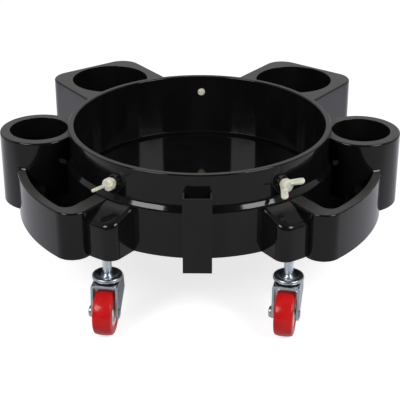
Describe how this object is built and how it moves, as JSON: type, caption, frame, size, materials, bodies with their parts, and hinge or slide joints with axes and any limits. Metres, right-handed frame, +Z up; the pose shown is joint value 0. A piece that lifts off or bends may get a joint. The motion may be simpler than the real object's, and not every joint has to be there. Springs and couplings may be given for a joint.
{
  "type": "bucket dolly",
  "caption": "Round black plastic dolly with a deep bucket well, side cup holders, rear bottle holders, open front trays, a front slot, wing screws and swivel casters with red wheels.",
  "frame": {"origin": "centre of the bucket seat, the floor of the well", "axes": "+Z up out of the well, +X to the right of a person who faces the front slot, -Y to the front"},
  "size_m": [0.4568, 0.406, 0.1903],
  "materials": {
    "black_plastic": "satin moulded",
    "zinc_steel": "zinc plated",
    "red_tread": "smooth moulded",
    "white_nylon": "moulded",
    "cream_nylon": "moulded"
  },
  "bodies": {
    "dolly_body": {"bucket_ring": "black_plastic", "left_cup_holder": "black_plastic", "right_cup_holder": "black_plastic", "rear_left_holder": "black_plastic", "rear_right_holder": "black_plastic", "left_tray": "black_plastic", "right_tray": "black_plastic", "front_slot": "black_plastic", "stem_inserts": "zinc_steel", "swivel_washers": "zinc_steel", "caster_boss_front_left": "black_plastic", "caster_stem_front_left": "zinc_steel", "top_raceway_front_left": "zinc_steel", "caster_boss_front_right": "black_plastic", "caster_stem_front_right": "zinc_steel", "top_raceway_front_right": "zinc_steel", "caster_boss_left": "black_plastic", "caster_stem_left": "zinc_steel", "top_raceway_left": "zinc_steel", "caster_boss_right": "black_plastic", "caster_stem_right": "zinc_steel", "top_raceway_right": "zinc_steel", "caster_boss_rear": "black_plastic", "caster_stem_rear": "zinc_steel", "top_raceway_rear": "zinc_steel"},
    "fork_body_front_left": {"fork_front_left": "zinc_steel", "axle_rivet_front_left": "zinc_steel", "axle_sleeve_front_left": "zinc_steel"},
    "wheel_body_front_left": {"wheel_core_front_left": "white_nylon", "tyre_front_left": "red_tread"},
    "fork_body_front_right": {"fork_front_right": "zinc_steel", "axle_rivet_front_right": "zinc_steel", "axle_sleeve_front_right": "zinc_steel"},
    "wheel_body_front_right": {"wheel_core_front_right": "white_nylon", "tyre_front_right": "red_tread"},
    "fork_body_left": {"fork_left": "zinc_steel", "axle_rivet_left": "zinc_steel", "axle_sleeve_left": "zinc_steel"},
    "wheel_body_left": {"wheel_core_left": "white_nylon", "tyre_left": "red_tread"},
    "fork_body_right": {"fork_right": "zinc_steel", "axle_rivet_right": "zinc_steel", "axle_sleeve_right": "zinc_steel"},
    "wheel_body_right": {"wheel_core_right": "white_nylon", "tyre_right": "red_tread"},
    "fork_body_rear": {"fork_rear": "zinc_steel", "axle_rivet_rear": "zinc_steel", "axle_sleeve_rear": "zinc_steel"},
    "wheel_body_rear": {"wheel_core_rear": "white_nylon", "tyre_rear": "red_tread"},
    "screw_body_front_left": {"screw_shank_front_left": "cream_nylon"},
    "head_body_front_left": {"wing_head_front_left": "cream_nylon"},
    "screw_body_front_right": {"screw_shank_front_right": "cream_nylon"},
    "head_body_front_right": {"wing_head_front_right": "cream_nylon"},
    "screw_body_rear": {"screw_shank_rear": "cream_nylon"},
    "head_body_rear": {"wing_head_rear": "cream_nylon"}
  },
  "joints": [
    {"name": "swivel_front_left", "type": "hinge", "parent": "dolly_body", "child": "fork_body_front_left", "pos_m": [-0.09845, -0.13551, -0.0536], "axis": [0, 0, 1], "continuous": true},
    {"name": "roll_front_left", "type": "hinge", "parent": "fork_body_front_left", "child": "wheel_body_front_left", "pos_m": [-0.10041, -0.15038, -0.0877], "axis": [0.9914, -0.1305, 0], "continuous": true},
    {"name": "swivel_front_right", "type": "hinge", "parent": "dolly_body", "child": "fork_body_front_right", "pos_m": [0.09845, -0.13551, -0.0536], "axis": [0, 0, 1], "continuous": true},
    {"name": "roll_front_right", "type": "hinge", "parent": "fork_body_front_right", "child": "wheel_body_front_right", "pos_m": [0.09559, -0.15023, -0.0877], "axis": [0.9816, -0.1908, 0], "continuous": true},
    {"name": "swivel_left", "type": "hinge", "parent": "dolly_body", "child": "fork_body_left", "pos_m": [-0.1593, 0.05176, -0.0536], "axis": [0, 0, 1], "continuous": true},
    {"name": "roll_left", "type": "hinge", "parent": "fork_body_left", "child": "wheel_body_left", "pos_m": [-0.16165, 0.03694, -0.0877], "axis": [0.9877, -0.1564, 0], "continuous": true},
    {"name": "swivel_right", "type": "hinge", "parent": "dolly_body", "child": "fork_body_right", "pos_m": [0.1593, 0.05176, -0.0536], "axis": [0, 0, 1], "continuous": true},
    {"name": "roll_right", "type": "hinge", "parent": "fork_body_right", "child": "wheel_body_right", "pos_m": [0.15696, 0.03694, -0.0877], "axis": [0.9877, -0.1564, 0], "continuous": true},
    {"name": "swivel_rear", "type": "hinge", "parent": "dolly_body", "child": "fork_body_rear", "pos_m": [0, 0.1675, -0.0536], "axis": [0, 0, 1], "continuous": true},
    {"name": "roll_rear", "type": "hinge", "parent": "fork_body_rear", "child": "wheel_body_rear", "pos_m": [-0.00235, 0.15268, -0.0877], "axis": [0.9877, -0.1564, 0], "continuous": true},
    {"name": "clamp_front_left", "type": "slide", "parent": "dolly_body", "child": "screw_body_front_left", "axis": [0.5878, 0.809, 0], "range_m": [-0.006, 0.0028]},
    {"name": "turn_front_left", "type": "hinge", "parent": "screw_body_front_left", "child": "head_body_front_left", "pos_m": [-0.09199, -0.12661, 0.0562], "axis": [0.5878, 0.809, 0], "range_deg": [-1440, 672]},
    {"name": "clamp_front_right", "type": "slide", "parent": "dolly_body", "child": "screw_body_front_right", "axis": [-0.5878, 0.809, 0], "range_m": [-0.006, 0.0028]},
    {"name": "turn_front_right", "type": "hinge", "parent": "screw_body_front_right", "child": "head_body_front_right", "pos_m": [0.09199, -0.12661, 0.0562], "axis": [-0.5878, 0.809, 0], "range_deg": [-1440, 672]},
    {"name": "clamp_rear", "type": "slide", "parent": "dolly_body", "child": "screw_body_rear", "axis": [0, -1, 0], "range_m": [-0.006, 0.0028]},
    {"name": "turn_rear", "type": "hinge", "parent": "screw_body_rear", "child": "head_body_rear", "pos_m": [0, 0.1565, 0.0562], "axis": [0, -1, 0], "range_deg": [-1440, 672]}
  ],
  "couplings": [
    {"joint": "clamp_front_left", "follows": "turn_front_left", "m_per_rad": 0.00023873},
    {"joint": "clamp_front_right", "follows": "turn_front_right", "m_per_rad": 0.00023873},
    {"joint": "clamp_rear", "follows": "turn_rear", "m_per_rad": 0.00023873}
  ]
}
